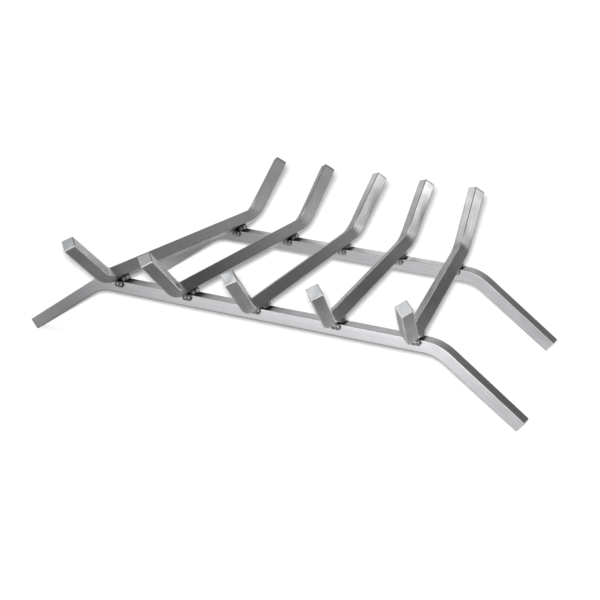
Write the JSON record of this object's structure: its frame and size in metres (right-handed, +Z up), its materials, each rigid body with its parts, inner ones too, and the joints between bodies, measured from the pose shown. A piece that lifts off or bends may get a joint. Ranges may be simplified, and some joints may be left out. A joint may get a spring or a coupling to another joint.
{
  "type": "log grate",
  "caption": "Tapered fireplace log grate of square steel bar, with cross bars fanned out on edge, turned up at both ends and welded to two rails on splayed legs.",
  "frame": {"origin": "on the floor, under the centre of the grate's box", "axes": "+X along the rails to the right, +Y to the rear, where the rails are closer in, +Z up"},
  "size_m": [0.7002, 0.4495, 0.1764],
  "materials": {
    "rail_steel": "brushed along the bar, satin",
    "bar_steel": "brushed along the bar, satin",
    "weld_metal": "rippled weld bead with a dark heat tint"
  },
  "bodies": {
    "root": {"front_rail": "rail_steel", "rear_rail": "rail_steel", "cross_bar_1": "bar_steel", "cross_bar_2": "bar_steel", "cross_bar_3": "bar_steel", "cross_bar_4": "bar_steel", "cross_bar_5": "bar_steel", "weld_front_1_left": "weld_metal", "weld_front_1_right": "weld_metal", "weld_front_2_left": "weld_metal", "weld_front_2_right": "weld_metal", "weld_front_3_left": "weld_metal", "weld_front_3_right": "weld_metal", "weld_front_4_left": "weld_metal", "weld_front_4_right": "weld_metal", "weld_front_5_left": "weld_metal", "weld_front_5_right": "weld_metal", "weld_rear_1_left": "weld_metal", "weld_rear_1_right": "weld_metal", "weld_rear_2_left": "weld_metal", "weld_rear_2_right": "weld_metal", "weld_rear_3_left": "weld_metal", "weld_rear_3_right": "weld_metal", "weld_rear_4_left": "weld_metal", "weld_rear_4_right": "weld_metal", "weld_rear_5_left": "weld_metal", "weld_rear_5_right": "weld_metal", "tack_front_1": "weld_metal", "tack_front_2": "weld_metal", "tack_front_3": "weld_metal", "tack_front_4": "weld_metal", "tack_front_5": "weld_metal", "tack_rear_1": "weld_metal", "tack_rear_2": "weld_metal", "tack_rear_3": "weld_metal", "tack_rear_4": "weld_metal", "tack_rear_5": "weld_metal"}
  },
  "joints": []
}
